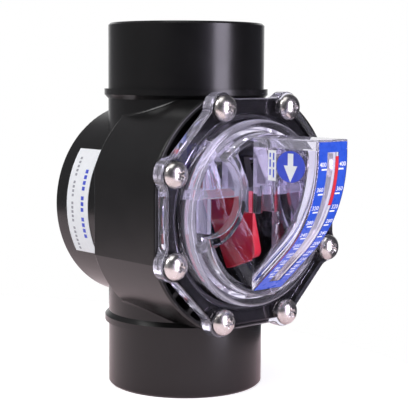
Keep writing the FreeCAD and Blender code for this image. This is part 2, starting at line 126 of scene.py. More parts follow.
# %% [markdown]
# ## An uneven skin
#
# No moulding is quite even. Its colour and gloss change softly over a few centimetres, as the plastic
# flowed and cooled. That could be painted by hand, but noise gives it at once and all round. The noise
# reads Object coordinates. The pieces sit at the origin with their place in their mesh, so these are
# metres in the valve's own frame, and a noise scale of 1000 means features about a millimetre across.

# %% Uneven black
noise_low, noise_high = 0.3, 0.7


def noise(material, per_metre, detail=3.0):
    """Noise texture on the piece's own coordinates; returns its factor socket."""
    tree = material.node_tree
    place = tree.nodes.new("ShaderNodeTexCoord")
    texture = tree.nodes.new("ShaderNodeTexNoise")
    texture.inputs["Scale"].default_value = per_metre
    texture.inputs["Detail"].default_value = detail
    tree.links.new(place.outputs["Object"], texture.inputs["Vector"])
    return texture.outputs["Fac"]


def tint(material, shader, factor, dark, pale):
    """Blend the base colour between two close colours by noise; returns the colour."""
    ramp = material.node_tree.nodes.new("ShaderNodeValToRGB")
    stops = zip(ramp.color_ramp.elements, (noise_low, noise_high), (dark, pale))
    for stop, position, colour in stops:
        stop.position = position
        stop.color = (*colour, 1)
    material.node_tree.links.new(factor, ramp.inputs["Fac"])
    material.node_tree.links.new(ramp.outputs["Color"], shader.inputs["Base Color"])
    return ramp.outputs["Color"]


def vary(material, shader, socket, factor, low, high):
    """Drive a shader's number between two values by noise."""
    span = material.node_tree.nodes.new("ShaderNodeMapRange")
    span.inputs["From Min"].default_value = noise_low
    span.inputs["From Max"].default_value = noise_high
    span.inputs["To Min"].default_value = low
    span.inputs["To Max"].default_value = high
    material.node_tree.links.new(factor, span.inputs["Value"])
    material.node_tree.links.new(span.outputs["Result"], shader.inputs[socket])


tint(body_black, shader, noise(body_black, 40), (0.0048, 0.0047, 0.0048), (0.0072, 0.007, 0.0071))
vary(body_black, shader, "Roughness", noise(body_black, 55, 2), 0.2, 0.27)
print("black plastic:", len(body_black.node_tree.nodes), "nodes")

# %% [markdown]
# ## Moulded grain
#
# The mould's steel leaves a very fine grain on the skin, which breaks up reflections. As geometry it
# would take millions of faces, and it never shows in the outline, so here it is bump, a few hundredths
# of a millimetre deep.

# %% Grain on the body
def grain(material, shader, factor, strength, relief):
    """Fine relief from a factor, as a bump of the given depth in metres."""
    bump = material.node_tree.nodes.new("ShaderNodeBump")
    bump.inputs["Strength"].default_value = strength
    bump.inputs["Distance"].default_value = relief
    material.node_tree.links.new(factor, bump.inputs["Height"])
    material.node_tree.links.new(bump.outputs["Normal"], shader.inputs["Normal"])


grain(body_black, shader, noise(body_black, 1400), 0.12, 0.00005)
print("grain linked:", shader.inputs["Normal"].is_linked)

# %% [markdown]
# ## Clear moulded plastic
#
# The lid is one clear moulding with a faint violet cast. It could be a thin see-through skin, but its
# solid has real walls, so a refractive index lets light bend at every face by itself. Clear plastic is
# never quite flat, and soft waves a centimetre or more long bend what is seen in it and through it. The
# lamps' light has to reach what is behind the lid, so the lid casts no shadow.

# %% Lid finish
clear_plastic, shader = new_finish(
    "clear_plastic", Base_Color=(0.89, 0.87, 0.98, 1), IOR=1.49,
    Sheen_Weight=0.12, Sheen_Roughness=0.28, Sheen_Tint=(0.86, 0.82, 1.0, 1),
)
vary(clear_plastic, shader, "Roughness", noise(clear_plastic, 30, 2), 0.0, 0.03)
grain(clear_plastic, shader, noise(clear_plastic, 60, 1), 0.08, 0.0006)
dress("lid", clear_plastic)
nodes["lid"].visible_shadow = False
print("clear plastic on the lid, refractive index %.2f" % shader.inputs["IOR"].default_value)

# %% [markdown]
# ## Polished flats
#
# A mould's flat faces are easy to polish, so the lid's flats come out clear and its upright walls less
# so. The mesh could be split by material, but a mask works on any mesh: it measures the distance from a
# point along some directions, and is 1 where that lies in a range. Along one direction this picks out a
# level, and square to an axis it picks out a ring.

# %% A mask from distances
along_x, along_y, along_z = (1, 0, 0), (0, 1, 0), (0, 0, 1)
flat_levels = (-48.6, -45.6, -44.6, -41.6, -41.5, -36.5)
flat_within = 0.08


def feed(owner, socket, term):
    """Link a socket to another one, or set it to a plain number or colour."""
    if isinstance(term, bpy.types.NodeSocket):
        owner.node_tree.links.new(term, socket)
    else:
        socket.default_value = term


def maths(owner, operation, *terms):
    """Math node of a material or world, on sockets and plain numbers; returns its result."""
    node = owner.node_tree.nodes.new("ShaderNodeMath")
    node.operation = operation
    for socket, term in zip(node.inputs, terms):
        feed(owner, socket, term)
    return node.outputs["Value"]


def near(material, centre, directions, low, high):
    """1 where the distance from a centre, along some directions in millimetres, lies in a range."""
    tree = material.node_tree
    value = tree.nodes.new("ShaderNodeTexCoord").outputs["Object"]
    steps = (("SUBTRACT", Vector(centre) * MM), ("MULTIPLY", directions), ("LENGTH", None))
    for operation, vector in steps:
        node = tree.nodes.new("ShaderNodeVectorMath")
        node.operation = operation
        feed(material, node.inputs[0], value)
        if vector is not None:
            feed(material, node.inputs[1], vector)
        value = node.outputs["Value" if operation == "LENGTH" else "Vector"]
    return maths(material, "COMPARE", value, 0.5 * (low + high) * MM, 0.5 * (high - low) * MM)


flats = [near(clear_plastic, (0, level, 0), along_y, 0, flat_within) for level in flat_levels]
print("polished flats:", len(flats))

# %% [markdown]
# ## Haze in the lid
#
# The fin's sides are polished too, and so is the spigot that fits into the body. The lid's other walls
# are a little hazy. The brackets inside, the fin's thick top and the dome's rim are hazier, and the
# wall behind the scale's slot is frosted. Two masks multiplied give each of these places. Haze could be
# roughness, which blurs what lies behind. Letting less light pass instead makes it milky, as moulded
# plastic is.

# %% Where the lid is hazy
mid_height = 73.2
hinge = Vector((0, -31.3, 97.2))
middle = (0, 0, mid_height)
square_to_x, square_to_y = (0, 1, 1), (1, 0, 1)
wall_haze = 0.08
# name: centre, directions, and the range of distances
lid_places = {
    "fin": ((0, -65.2, 0), along_y, 0, 16.5),
    "fin_top": ((0, 0, 101.3), along_z, 0, 2.1),
    "inside": ((0, -33.7, 0), along_y, 0, 7.6),
    "spigot": (middle, square_to_y, 33.7, 38.6),
    "brackets": (middle, square_to_y, 0, 33.7),
    "dome": ((0, -45.2, 0), along_y, 0, 3.9),
    "dome_rim": (middle, square_to_y, 29, 36.2),
    "front_wall": (hinge, square_to_x, 49.9, 50.1),
    "slot": ((0, 0, 0), along_x, 0, 3.0),
}
hazy_places = (
    ("inside", "brackets", 0.15), ("fin", "fin_top", 0.15),
    ("front_wall", "slot", 0.3), ("dome", "dome_rim", 0.04),
)

masks = {name: near(clear_plastic, *place) for name, place in lid_places.items()}
polished = flats + [masks["fin"], maths(clear_plastic, "MULTIPLY", masks["inside"], masks["spigot"])]
clear = polished[0]
for place in polished[1:]:
    clear = maths(clear_plastic, "MAXIMUM", clear, place)
passing = maths(clear_plastic, "MULTIPLY_ADD", clear, wall_haze, 1 - wall_haze)
for first, second, haze in hazy_places:
    both = maths(clear_plastic, "MULTIPLY", masks[first], masks[second])
    passing = maths(clear_plastic, "MULTIPLY_ADD", both, -haze, passing)
feed(clear_plastic, shader.inputs["Transmission Weight"], passing)
print("polished places:", len(polished), "- hazy places:", len(hazy_places))

# %% [markdown]
# ## Red pointer
#
# The pointer is red, and black where it lies within 17 mm of the hinge. Two pieces could meet there, but
# the pointer is one mesh, so two colours are mixed by a mask like the lid's: the distance from the hinge.

# %% Pointer finish
neck_black = (0.012, 0.01, 0.01, 1)
neck_reach = 17.0


def colour_mix(owner, factor, first, second):
    """Colour that goes from the first to the second by a factor."""
    mix = owner.node_tree.nodes.new("ShaderNodeMix")
    mix.data_type = "RGBA"
    for name, term in (("Factor", factor), ("A", first), ("B", second)):
        feed(owner, mix.inputs[name], term)
    return mix.outputs["Result"]


red_plastic, shader = new_finish("red_plastic", Specular_IOR_Level=0.45)
red_tint = tint(red_plastic, shader, noise(red_plastic, 60), (0.68, 0.01, 0.028), (0.78, 0.016, 0.04))
neck = near(red_plastic, hinge, square_to_x, 0, neck_reach)
feed(red_plastic, shader.inputs["Base Color"], colour_mix(red_plastic, neck, red_tint, neck_black))
vary(red_plastic, shader, "Roughness", noise(red_plastic, 80, 2), 0.28, 0.4)
grain(red_plastic, shader, noise(red_plastic, 1800), 0.1, 0.00004)
dress("pointer", red_plastic)
print("pointer red from %.0f mm off the hinge" % neck_reach)

# %% [markdown]
# ## Grey plastic, rubber and steel
#
# The flapper is black like the body, and a grey washer holds its seal. The seals are matt rubber.
# Screws, pin and spring are stainless steel, polished by tumbling. Each could have its own kind of
# texture, but all of them differ from the body only in colour, gloss and grain, so the same helpers
# make them.

# %% Inner finishes
rubber_nodes = ("lid_seal", "flapper_seal")
steel_nodes = ("lid_screws", "retainer_screw", "hinge_pin", "return_spring")

dress("flapper", body_black)

grey_plastic, shader = new_finish("grey_plastic", Specular_IOR_Level=0.4)
tint(grey_plastic, shader, noise(grey_plastic, 90), (0.26, 0.26, 0.28), (0.32, 0.32, 0.34))
vary(grey_plastic, shader, "Roughness", noise(grey_plastic, 120, 2), 0.42, 0.55)
dress("seal_retainer", grey_plastic)

black_rubber, shader = new_finish("black_rubber", Specular_IOR_Level=0.35)
tint(black_rubber, shader, noise(black_rubber, 150), (0.012, 0.012, 0.012), (0.022, 0.022, 0.021))
vary(black_rubber, shader, "Roughness", noise(black_rubber, 200, 2), 0.6, 0.78)
grain(black_rubber, shader, noise(black_rubber, 2500), 0.2, 0.00004)
for node in rubber_nodes:
    dress(node, black_rubber)

stainless, shader = new_finish("stainless", Metallic=1.0)
tint(stainless, shader, noise(stainless, 220), (0.48, 0.455, 0.44), (0.64, 0.61, 0.59))
vary(stainless, shader, "Roughness", noise(stainless, 400, 2), 0.2, 0.32)
for node in steel_nodes:
    dress(node, stainless)
print("rubber on", len(rubber_nodes), "nodes, steel on", len(steel_nodes))

# %% [markdown]
# ## Printed film
#
# The scale and the stickers are thin glossy film. A whole label could be one image, but then its print
# would have no edges of its own. Here each colour is a finish, and what is printed comes later as thin
# shapes.

# %% Label finishes
def film(name, dark, pale, gloss):
    """Finish of one printed colour, faintly uneven."""
    material, shader = new_finish(name, Specular_IOR_Level=0.4)
    tint(material, shader, noise(material, 500), dark, pale)
    vary(material, shader, "Roughness", noise(material, 300, 2), gloss, gloss + 0.1)
    return material


scale_blue = film("scale_blue", (0.02, 0.078, 0.52), (0.027, 0.1, 0.6), 0.25)
sticker_blue = film("sticker_blue", (0.05, 0.08, 0.58), (0.06, 0.1, 0.66), 0.3)
sticker_white = film("sticker_white", (0.84, 0.85, 0.88), (0.89, 0.9, 0.93), 0.4)
film_nodes = {
    "scale_label": scale_blue, "round_sticker": sticker_blue,
    "side_sticker": sticker_white, "body_label": sticker_white,
}
for node, material in film_nodes.items():
    dress(node, material)
print("film on", len(film_nodes), "nodes")

# %% [markdown]
# ## Lid screws
#
# Eight stainless screws hold the lid. Their heads are high polished domes, and their shanks carry a
# coarse thread for plastic. A screw could be put together from a ball and a cylinder, but it is a
# turned part, so it is made as on a lathe: half of its profile is drawn once and spun about the axis.
# The thread is a row of rings, which looks the same on a shank that hardly shows.

# %% Turned blank
screw_steps = 48
dome_steps = 12
lid_screw_size = dict(head_r=5.15, head_height=4.0, shank_r=2.4, length=16.0, pitch=1.8)


def screw_profile(head_r, head_height, shank_r, length, pitch):
    """Half profile: dome, rounded rim, flat under the head, thread, blunt tip."""
    rim = 0.14 * head_height
    root = 0.8 * shank_r
    profile = [(0, -head_height)]
    for step in range(1, dome_steps + 1):
        angle = math.radians(90 - 90 / dome_steps * step)
        profile.append((head_r * math.cos(angle), -rim - (head_height - rim) * math.sin(angle)))
    profile += [(0.97 * head_r, -0.3 * rim), (0.92 * head_r, 0), (shank_r, 0)]
    y = pitch
    while y < length - 1.5 * pitch:
        profile += [(shank_r, y), (root, y + 0.45 * pitch), (root, y + 0.6 * pitch)]
        y += pitch
    profile += [(shank_r, y), (0.5 * shank_r, length), (0, length)]
    return profile


def lathe(profile, steps):
    """Solid turned about the Y axis from (radius, y) points in millimetres, from axis to axis."""
    shape = bmesh.new()
    points = [shape.verts.new((radius * MM, y * MM, 0)) for radius, y in profile]
    edges = [shape.edges.new(pair) for pair in zip(points, points[1:])]
    bmesh.ops.spin(
        shape, geom=points + edges, cent=(0, 0, 0), axis=along_y,
        angle=2 * math.pi, steps=steps, use_merge=True,
    )
    bmesh.ops.remove_doubles(shape, verts=shape.verts, dist=1e-6)
    bmesh.ops.recalc_face_normals(shape, faces=shape.faces)
    return shape


lid_screw = lathe(screw_profile(**lid_screw_size), screw_steps)
print("turned blank:", len(lid_screw.faces), "faces")

# %% [markdown]
# ## The bit of a driver
#
# Each head has a cross recess that narrows towards its foot, so that a driver's bit jams into it. The
# recess could be inset and pushed in on the dome's faces, but they run in rings and have no cross in
# them. It is easier to make the bit, which is two crossed wedges.

# %% Cross bit
foot_span, foot_width = 0.4, 0.75


def wedge(span, width, depth, top, turn):
    """One arm of a cross bit: a block that narrows downwards, its middle at the head's top."""
    shape = bmesh.new()
    corners = bmesh.ops.create_cube(shape, size=1)["verts"]
    bmesh.ops.scale(shape, vec=(span * MM, 2 * depth * MM, width * MM), verts=corners)
    foot = [v for v in corners if v.co.y > 0]
    bmesh.ops.scale(shape, vec=(foot_span, 1, foot_width), verts=foot)
    bmesh.ops.rotate(shape, matrix=Matrix.Rotation(turn, 3, "Y"), verts=corners)
    bmesh.ops.translate(shape, vec=(0, top * MM, 0), verts=corners)
    return shape


def cross_bit(head_r, head_height):
    """The two wedges that fit a head, which looks towards -Y."""
    span, width, depth = 1.1 * head_r, 0.27 * head_r, 0.52 * head_height
    return [wedge(span, width, depth, -head_height, turn) for turn in (0, math.pi / 2)]


lid_bit = cross_bit(lid_screw_size["head_r"], lid_screw_size["head_height"])
print("cross bit:", len(lid_bit), "wedges")

# %% [markdown]
# ## Cutting the recess
#
# Cutting the bit out of the blank is a Boolean. bmesh has no operator for that, so both shapes become
# objects for a moment, a Boolean modifier does the cut, and its result is kept as a plain mesh.

# %% Cut the recess
def loose_object(name, shape):
    """Object that holds a finished bmesh."""
    mesh = bpy.data.meshes.new(name)
    shape.to_mesh(mesh)
    shape.free()
    piece = bpy.data.objects.new(name, mesh)
    bpy.context.scene.collection.objects.link(piece)
    return piece


def baked(piece):
    """The shape of an object with its modifiers applied, as a bmesh; the object itself goes."""
    bpy.context.view_layer.update()
    mesh = bpy.data.meshes.new_from_object(piece.evaluated_get(bpy.context.evaluated_depsgraph_get()))
    bpy.data.objects.remove(piece)
    shape = bmesh.new()
    shape.from_mesh(mesh)
    bpy.data.meshes.remove(mesh)
    return shape


def carve(solid, tool):
    """Cut a tool's shape out of a solid and return the result."""
    blank = loose_object("blank", solid)
    cutter = loose_object("cutter", tool)
    cut = blank.modifiers.new("cut", "BOOLEAN")
    cut.object = cutter
    result = baked(blank)
    bpy.data.objects.remove(cutter)
    return result


for arm in lid_bit:
    lid_screw = carve(lid_screw, arm)
print("one lid screw:", len(lid_screw.faces), "faces")

# %% [markdown]
# ## Eight screws in a circle
#
# The screws stand in a circle round the lid's flange, each turned differently, as a hand driver leaves
# them. Eight linked objects would do for a picture, but a part is easier to handle as one piece, so the
# copies are joined. The piece rides on the housing, and it replaces the plain screws of the CAD model.

# %% Eight screws in the lid
flange_front = -41.5
screw_circle = 43.75
screw_count, first_angle = 8, 22.5
first_twist, twist_step = 20, 67


def gather(parts):
    """One bmesh with each shape at its place, from (shape, place) pairs; the shapes are used up."""
    whole = bmesh.new()
    for shape, place in parts:
        bmesh.ops.transform(shape, matrix=place, verts=shape.verts)
        mesh = bpy.data.meshes.new("part")
        shape.to_mesh(mesh)
        shape.free()
        whole.from_mesh(mesh)
        bpy.data.meshes.remove(mesh)
    return whole


def new_piece(name, shape, material, body):
    """Named piece with a finish, riding on a body."""
    piece = loose_object(name, shape)
    piece.data.materials.append(material)
    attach(piece, body)
    return piece


screw_parts = []
for number in range(screw_count):
    angle = math.radians(first_angle + 360 / screw_count * number)
    x, z = screw_circle * math.cos(angle), screw_circle * math.sin(angle)
    seat = Vector((x, flange_front, mid_height + z))
    twist = Matrix.Rotation(math.radians(first_twist + twist_step * number), 4, "Y")
    screw_parts.append((lid_screw.copy(), Matrix.Translation(seat * MM) @ twist))
lid_screw.free()
lid_screw_set = new_piece("lid_screw_set", gather(screw_parts), stainless, "housing")
lid_screw_set.data.shade_smooth()
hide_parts("lid_screws")
print("lid screws in place:", len(screw_parts))

# %% [markdown]
# ## Return spring
#
# A torsion spring on the hinge pin pushes the flapper shut. It could be a curve with a round bevel, but
# it is wire, so it is made the way wire is wound: a small circle is spun about the pin while it also
# moves along it, and both ends run off straight.

# %% Wind the spring
closed_angle = math.radians(20.7)
closed_tilt = Matrix.Rotation(-closed_angle, 4, "X")
coil_r, coil_pitch, coil_turns, coil_start = 3.0, 1.2, 4.74, 12.5
wire_r, arm_length, leg_length = 0.45, 14.0, 16.48
wire_sides, steps_per_turn = 12, 36


def run_straight(shape, ring, way):
    """Carry an open ring of wire on along a straight line."""
    grown = bmesh.ops.extrude_edge_only(shape, edges=ring)["geom"]
    ends = [g for g in grown if isinstance(g, bmesh.types.BMVert)]
    bmesh.ops.translate(shape, vec=way * MM, verts=ends)


def wound_spring():
    """Round wire about the X axis, its first leg under the flapper, its last leg on the shelf."""
    shape = bmesh.new()
    lean = math.atan2(coil_pitch, 2 * math.pi * coil_r)
    way = Vector((math.sin(lean), -math.cos(lean), 0))
    first = bmesh.ops.create_circle(shape, segments=wire_sides, radius=wire_r * MM)["verts"]
    facing = way.to_track_quat("Z", "Y").to_matrix().to_4x4()
    start = Matrix.Translation(Vector((coil_start, 0, -coil_r)) * MM)
    bmesh.ops.transform(shape, matrix=start @ facing, verts=first)
    first_ring = shape.edges[:]
    steps = round(steps_per_turn * coil_turns)
    turned = -2 * math.pi * coil_turns
    rise = Vector((coil_pitch * coil_turns / steps, 0, 0)) * MM
    swept = bmesh.ops.spin(
        shape, geom=first + first_ring, axis=along_x, angle=turned, steps=steps, dvec=rise
    )
    last_ring = [g for g in swept["geom_last"] if isinstance(g, bmesh.types.BMEdge)]
    run_straight(shape, last_ring, Matrix.Rotation(turned, 3, "X") @ way * leg_length)
    run_straight(shape, first_ring, way * -arm_length)
    bmesh.ops.holes_fill(shape, edges=[e for e in shape.edges if e.is_boundary], sides=wire_sides)
    bmesh.ops.recalc_face_normals(shape, faces=shape.faces)
    bmesh.ops.transform(shape, matrix=Matrix.Translation(hinge * MM) @ closed_tilt, verts=shape.verts)
    return shape


spring = loose_object("torsion_spring", wound_spring())
spring.data.materials.append(stainless)
spring.data.shade_smooth()
print("spring wound:", len(spring.data.polygons), "faces")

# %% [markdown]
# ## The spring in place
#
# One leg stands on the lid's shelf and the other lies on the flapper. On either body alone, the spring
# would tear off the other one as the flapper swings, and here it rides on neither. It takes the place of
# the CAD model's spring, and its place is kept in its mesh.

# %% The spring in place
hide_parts("return_spring")
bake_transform(spring)

# %% [markdown]
# ## Flow scale
#
# The strip on the fin's front is blue film with a slot, and white figures are printed beside the slot
# on both sides. It bends in an arc about the hinge, so that the pointer's tip stays close to it, and
# then runs on straight. A shape could be bent by a modifier, but the figures are so small that each may
# stay flat and be set down at its own angle.

# %% Where things lie on the scale
scale_r = 50.2
arc_end = math.radians(47)


def on_scale(x, down):
    """Matrix that lays a flat shape on the strip, at a distance down from the hinge's level."""
    angle = min(down / scale_r, arc_end)
    beyond = down - scale_r * angle
    return (
        Matrix.Translation(hinge * MM) @ Matrix.Rotation(angle, 4, "X")
        @ Matrix.Translation(Vector((x, -scale_r, -beyond)) * MM) @ Matrix.Rotation(math.pi / 2, 4, "X")
    )


print("the scale's arc is %.1f mm long" % (scale_r * arc_end))

# %% [markdown]
# ## Figures and ticks
#
# Print has almost no height. It could be an image on the film, which blurs up close, so each figure is
# a thin raised shape instead. The figures are text, made a mesh before they are set down, and the ticks
# are bars.

# %% Figures and ticks
print_height = 0.02
print_spread = 0.02
figure_share = 0.7
tick_rows = (4.6, 13.8, 20.9, 27.0, 32.6, 38.0, 43.0, 47.6, 51.8, 55.6)
top_value, value_step = 400, 40
figure_x, figure_height, figure_lift = 5.1, 1.6, 1.7
tick_x, tick_width, tick_tall = 4.4, 2.6, 0.6


def figure(text, height):
    """Thin mesh of a printed number, centred on its own middle."""
    font = bpy.data.curves.new("figure", "FONT")
    font.body = text
    font.size = height * MM / figure_share
    font.align_x = "CENTER"
    font.align_y = "CENTER"
    font.offset = print_spread * MM
    font.extrude = print_height * MM
    font.resolution_u = 3
    holder = bpy.data.objects.new("figure", font)
    bpy.context.scene.collection.objects.link(holder)
    shape = baked(holder)
    bpy.data.curves.remove(font)
    return shape


def flat_bar(width, tall):
    """Thin printed bar in the XY plane."""
    shape = bmesh.new()
    bmesh.ops.create_cube(shape, size=1)
    bmesh.ops.scale(shape, vec=Vector((width, tall, 2 * print_height)) * MM, verts=shape.verts)
    return shape


print_parts = []
for row, down in enumerate(tick_rows):
    for side in (-1, 1):
        number = figure(str(top_value - value_step * row), figure_height)
        print_parts.append((number, on_scale(side * figure_x, down - figure_lift)))
        print_parts.append((flat_bar(tick_width, tick_tall), on_scale(side * tick_x, down)))
new_piece("scale_print", gather(print_parts), sticker_white, "housing")
print("printed on the scale:", len(print_parts), "marks")

# %% [markdown]
# ## Red edge of the slot
#
# A red strip of film runs beside the upper part of the slot and bends with the fin. It is too long to
# stay flat as the figures do, so a small rectangle is carried round the hinge axis from one angle to
# another.
# The same helper bends dashes round the body for the label there.

# %% Bent strips
edge_r, edge_x, edge_width, edge_thickness = 50.07, 2.2, 1.5, 0.12
edge_low, edge_high = 0.0, math.radians(21)
degrees_per_step = 2


def bent_bar(width, thickness, radius, axis, low, high):
    """Bar of film bent about the X or Y axis between two angles, its width along that axis."""
    shape = bmesh.new()
    bmesh.ops.create_grid(shape, x_segments=1, y_segments=1, size=0.5)
    about_x = axis == "X"
    size = (width, thickness, 1) if about_x else (thickness, width, 1)
    reach = (0, -radius, 0) if about_x else (-radius, 0, 0)
    bmesh.ops.scale(shape, vec=Vector(size) * MM, verts=shape.verts)
    bmesh.ops.translate(shape, vec=Vector(reach) * MM, verts=shape.verts)
    bmesh.ops.rotate(shape, matrix=Matrix.Rotation(low, 3, axis), verts=shape.verts)
    bmesh.ops.spin(
        shape, geom=shape.verts[:] + shape.edges[:] + shape.faces[:],
        axis=along_x if about_x else along_y, angle=high - low,
        steps=max(2, round(math.degrees(high - low) / degrees_per_step)),
    )
    bmesh.ops.recalc_face_normals(shape, faces=shape.faces)
    return shape


scale_red = film("scale_red", (0.6, 0.02, 0.035), (0.7, 0.03, 0.05), 0.3)
edge_strip = bent_bar(edge_width, edge_thickness, edge_r, "X", edge_low, edge_high)
beside_slot = Matrix.Translation((hinge + Vector((edge_x, 0, 0))) * MM)
bmesh.ops.transform(edge_strip, matrix=beside_slot, verts=edge_strip.verts)
scale_edge = new_piece("scale_edge", edge_strip, scale_red, "housing")
print("red edge:", len(scale_edge.data.polygons), "faces")

# %% [markdown]
# ## Stickers on the fin
#
# The round sticker has a white arrow that points the way the water flows, and the small one beside it
# has lines of fine print, which are plain dashes here. Both are made like the print of the scale, from
# thin shapes that stand on the fin's side.

# %% Marks on the fin's side
sticker_face_x = -8.3
arrow_y, stem_z, head_z = -68.3, 22.4, 18.2
dash_top, dash_width, dash_gap = 24.4, 0.7, 0.8


def on_side(y, z):
    """Matrix that stands a flat shape on the fin's left side, readable from there."""
    facing = Matrix(((0, 0, -1), (-1, 0, 0), (0, 1, 0))).to_4x4()
    return Matrix.Translation(Vector((sticker_face_x, y, mid_height + z)) * MM) @ facing


def flat_triangle(reach):
    """Thin printed triangle that points down."""
    shape = bmesh.new()
    bmesh.ops.create_cone(
        shape, cap_ends=True, segments=3, radius1=reach * MM, radius2=reach * MM,
        depth=2 * print_height * MM,
    )
    bmesh.ops.rotate(shape, matrix=Matrix.Rotation(math.pi, 3, "Z"), verts=shape.verts)
    return shape


stem, head = flat_bar(2.8, 4.4), flat_triangle(4.0)
arrow_parts = [(stem, on_side(arrow_y, stem_z)), (head, on_side(arrow_y, head_z))]
new_piece("flow_arrow", gather(arrow_parts), sticker_white, "housing")
dash_parts = []
for column_y, lengths in ((-59.6, (2.6, 1.8, 3.0)), (-57.8, (1.6, 2.8, 2.2))):
    top = dash_top
    for length in lengths:
        dash_parts.append((flat_bar(dash_width, length), on_side(column_y, top - length / 2)))
        top -= length + dash_gap
new_piece("fine_print", gather(dash_parts), sticker_blue, "housing")
print("marks on the fin:", len(arrow_parts), "for the arrow and", len(dash_parts), "dashes")

# %% [markdown]
# ## Label on the body
#
# Two rows of print run up the label: a bold blue one towards the lid and a finer grey one behind it.
# Flat dashes would sink into the body's round skirt or stand off it, so they are bent bars like the
# slot's edge.

# %% Rows on the body label
label_r = 40.42
label_grey = film("label_grey", (0.3, 0.3, 0.33), (0.38, 0.38, 0.42), 0.45)


def label_row(y, width, groups, first, length, gap):
    """Dashes on the label in one row, in groups; angles in degrees up from the body's left side."""
    row = []
    place = Matrix.Translation(Vector((0, y, mid_height)) * MM)
    start = first
    for group in groups:
        for _ in range(group):
            low = math.radians(start)
            shape = bent_bar(width, 2 * print_height, label_r, "Y", low, low + math.radians(length))
            row.append((shape, place))
            start += length + gap
        start += 2 * gap
    return gather(row)


bold = label_row(y=16.2, width=1.8, groups=(4, 3, 4), first=-18, length=2.2, gap=1.1)
fine = label_row(y=22.9, width=1.3, groups=(6, 5, 4, 5), first=-26, length=1.5, gap=1.0)
bold_row = new_piece("label_row_blue", bold, sticker_blue, "housing")
fine_row = new_piece("label_row_grey", fine, label_grey, "housing")
print("label rows:", len(bold_row.data.polygons), len(fine_row.data.polygons), "faces")

# %% [markdown]
# ## Retainer screw
#
# Inside the valve one smaller screw holds the flapper's seal and its grey washer. A scaled copy of a
# lid screw would have the wrong thread, so it is turned and cut by the same helpers from sizes of its
# own. It stands square to the tilted disc and swings with it.

# %% Screw on the flapper
seal_screw_size = dict(head_r=3.6, head_height=2.2, shank_r=1.6, length=11.5, pitch=1.3)
seat_level, head_level = 3.0, 5.0

small_screw = lathe(screw_profile(**seal_screw_size), screw_steps)
for arm in cross_bit(seal_screw_size["head_r"], seal_screw_size["head_height"]):
    small_screw = carve(small_screw, arm)
disc_centre = (-hinge.y - seat_level * math.sin(closed_angle)) / math.cos(closed_angle)
lift = Matrix.Translation(Vector((0, disc_centre, head_level)) * MM)
standing = lift @ Matrix.Rotation(-math.pi / 2, 4, "X")
on_disc = Matrix.Translation(hinge * MM) @ closed_tilt @ standing
bmesh.ops.transform(small_screw, matrix=on_disc, verts=small_screw.verts)
seal_screw = new_piece("seal_screw", small_screw, stainless, "swing_flapper")
seal_screw.data.shade_smooth()
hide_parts("retainer_screw")
print("seal screw:", len(seal_screw.data.polygons), "faces")

# %% [markdown]
# ## Floor
#
# The valve stands on a plain pale sheet that takes its shadow. Lamps could light the sheet to white,
# but they would burn out the valve too, so the sheet glows a little where it is looked at, straight, in
# a reflection or through the lid. It is round and set back to the left, so that the lid's lower edge
# doesn't mirror it. In reflections its glow is warmer and dimmer, which keeps black plastic black.

# %% Floor
floor_radius, floor_middle, floor_sides = 0.3, (-0.2, 0.03, 0), 96
floor_paint = (0.86, 0.855, 0.85, 1)
glow_share = 0.66
glow_white, glow_mirrored = (1, 1, 1, 1), (0.72, 0.43, 0.48, 1)


def seen_by(owner, *kinds):
    """1 for rays of the named kinds, such as those from the camera, and 0 for the rest."""
    ray = owner.node_tree.nodes.new("ShaderNodeLightPath")
    total = ray.outputs[kinds[0]]
    for kind in kinds[1:]:
        total = maths(owner, "MAXIMUM", total, ray.outputs[kind])
    return total


def floor_finish():
    """Pale paint that also glows where it is looked at, yet can take a shadow."""
    material = bpy.data.materials.new("floor_pale")
    material.use_nodes = True
    tree = material.node_tree
    tree.nodes.clear()
    paint = tree.nodes.new("ShaderNodeBsdfDiffuse")
    paint.inputs["Color"].default_value = floor_paint
    glow = tree.nodes.new("ShaderNodeEmission")
    seen = seen_by(material, "Is Camera Ray", "Is Glossy Ray", "Is Transmission Ray")
    warmth = colour_mix(material, seen_by(material, "Is Reflection Ray"), glow_white, glow_mirrored)
    feed(material, glow.inputs["Color"], warmth)
    feed(material, glow.inputs["Strength"], maths(material, "MULTIPLY", seen, glow_share))
    both = tree.nodes.new("ShaderNodeAddShader")
    feed(material, both.inputs[0], paint.outputs["BSDF"])
    feed(material, both.inputs[1], glow.outputs["Emission"])
    feed(material, tree.nodes.new("ShaderNodeOutputMaterial").inputs["Surface"], both.outputs["Shader"])
    return material


sheet = bmesh.new()
bmesh.ops.create_circle(
    sheet, cap_ends=True, segments=floor_sides, radius=floor_radius,
    matrix=Matrix.Translation(floor_middle),
)
floor = loose_object("floor", sheet)
floor.data.materials.append(floor_finish())
print("floor %.1f m across" % (2 * floor_radius))

# %% [markdown]
# ## Backdrops
#
# A studio is a few plain surfaces round the object. They could be modelled as big cards, which would
# stand in the way of other views. The world holds them instead: each backdrop is a uniform light, and
# each place is a direction, with a soft edge between two angles.

# %% Backdrops of the studio
surround = bpy.data.worlds.new("studio")
bpy.context.scene.world = surround
surround.use_nodes = True
surround.node_tree.nodes.clear()


def backdrop(colour, strength):
    """One uniform background of the surround."""
    shader = surround.node_tree.nodes.new("ShaderNodeBackground")
    shader.inputs["Color"].default_value = (*colour, 1)
    shader.inputs["Strength"].default_value = strength
    return shader


